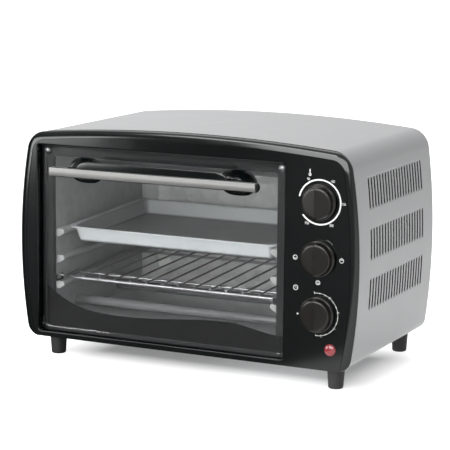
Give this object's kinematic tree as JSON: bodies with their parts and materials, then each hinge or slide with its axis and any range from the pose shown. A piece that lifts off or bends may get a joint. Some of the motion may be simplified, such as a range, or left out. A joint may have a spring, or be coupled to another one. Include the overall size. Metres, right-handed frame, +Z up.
{
  "type": "toaster oven",
  "caption": "Small countertop toaster oven with a drop-down glass door, bar handle, rotary dials, a wire rack, a baking pan and quartz heater tubes in a curved steel wrap.",
  "frame": {"origin": "centre of the footprint's box, on the surface that the feet stand on", "axes": "+X to the right as seen from the front, +Y to the back, +Z up"},
  "size_m": [0.378, 0.243, 0.2445],
  "materials": {
    "silver_paint": "silver metallic paint, satin",
    "galvanised_steel": "plain zinc-coated sheet",
    "liner_steel": "zinc-coated liner sheet, soft spangle",
    "bright_steel": "bright zinc plate",
    "chromed_wire": "chrome plate",
    "black_rubber": "matt black",
    "ivory_ceramic": "ivory steatite, matt",
    "gloss_black": "gloss black",
    "tray_aluminium": "rolled sheet, satin",
    "quartz": "milky quartz tube",
    "pan_enamel": "pale satin enamel",
    "door_glass": "clear toughened glass",
    "black_print": "black ceramic print behind glass",
    "dark_steel": "dark sheet frame",
    "brushed_strip": "brushed along its length",
    "knob_plastic": "semi-gloss brown black",
    "bakelite": "moulded phenolic",
    "brass_nut": "plain brass",
    "red_lens": "clear red, glowing edge"
  },
  "bodies": {
    "chassis": {"casing_cover": "silver_paint", "base_panel": "galvanised_steel", "rear_panel": "galvanised_steel", "rear_screws": "bright_steel", "cord_gland": "black_rubber", "terminal_block": "ivory_ceramic", "front_bezel": "gloss_black", "bezel_screws": "bright_steel", "bulkhead": "galvanised_steel", "chamber_left": "liner_steel", "chamber_right": "liner_steel", "chamber_roof": "liner_steel", "chamber_floor": "liner_steel", "chamber_back": "liner_steel", "crumb_tray": "tray_aluminium", "upper_heaters": "quartz", "lower_heaters": "quartz", "heater_caps": "ivory_ceramic", "hinge_brackets": "galvanised_steel", "door_spring": "bright_steel", "thermostat": "bakelite", "selector_switch": "ivory_ceramic", "timer": "galvanised_steel", "timer_bell": "bright_steel", "control_nuts": "brass_nut", "lamp_lens": "red_lens", "lamp_holder": "bakelite", "foot_front_left": "black_rubber", "foot_front_right": "black_rubber", "foot_back_left": "black_rubber", "foot_back_right": "black_rubber", "foot_screws": "bright_steel"},
    "door": {"door_glass": "door_glass", "glass_band": "black_print", "door_frame": "dark_steel", "corner_screws": "chromed_wire", "hinge_pins": "bright_steel", "handle": "gloss_black", "handle_strip": "brushed_strip", "handle_screws": "bright_steel"},
    "rack": {"wire_rack": "chromed_wire"},
    "pan": {"baking_pan": "pan_enamel"},
    "thermostat_dial": {"thermostat_knob": "knob_plastic", "thermostat_shaft": "bright_steel"},
    "selector_dial": {"selector_knob": "knob_plastic", "selector_shaft": "bright_steel"},
    "timer_dial": {"timer_knob": "knob_plastic", "timer_shaft": "bright_steel"}
  },
  "joints": [
    {"name": "door_hinge", "type": "hinge", "parent": "chassis", "child": "door", "pos_m": [-0.02825, -0.0935, 0.0335], "axis": [1, 0, 0], "range_deg": [0, 90], "stiffness_Nm_per_rad": 0.2, "springref_deg": -20.05},
    {"name": "rack_slide", "type": "slide", "parent": "chassis", "child": "rack", "axis": [0, -0.9992, -0.0401], "range_m": [0, 0.087]},
    {"name": "pan_slide", "type": "slide", "parent": "chassis", "child": "pan", "axis": [0, -0.9992, -0.0401], "range_m": [0, 0.071]},
    {"name": "thermostat_turn", "type": "hinge", "parent": "chassis", "child": "thermostat_dial", "pos_m": [0.148, -0.1045, 0.1877], "axis": [0, 1, 0], "range_deg": [-78, 233]},
    {"name": "selector_turn", "type": "hinge", "parent": "chassis", "child": "selector_dial", "pos_m": [0.148, -0.1045, 0.1327], "axis": [0, 1, 0], "range_deg": [0, 270]},
    {"name": "timer_turn", "type": "hinge", "parent": "chassis", "child": "timer_dial", "pos_m": [0.148, -0.1045, 0.0777], "axis": [0, 1, 0], "range_deg": [-82, 190]}
  ],
  "couplings": [
    {"joint": "rack_slide", "follows": "door_hinge", "m_per_rad": 0.055},
    {"joint": "pan_slide", "follows": "door_hinge", "m_per_rad": 0.045}
  ]
}
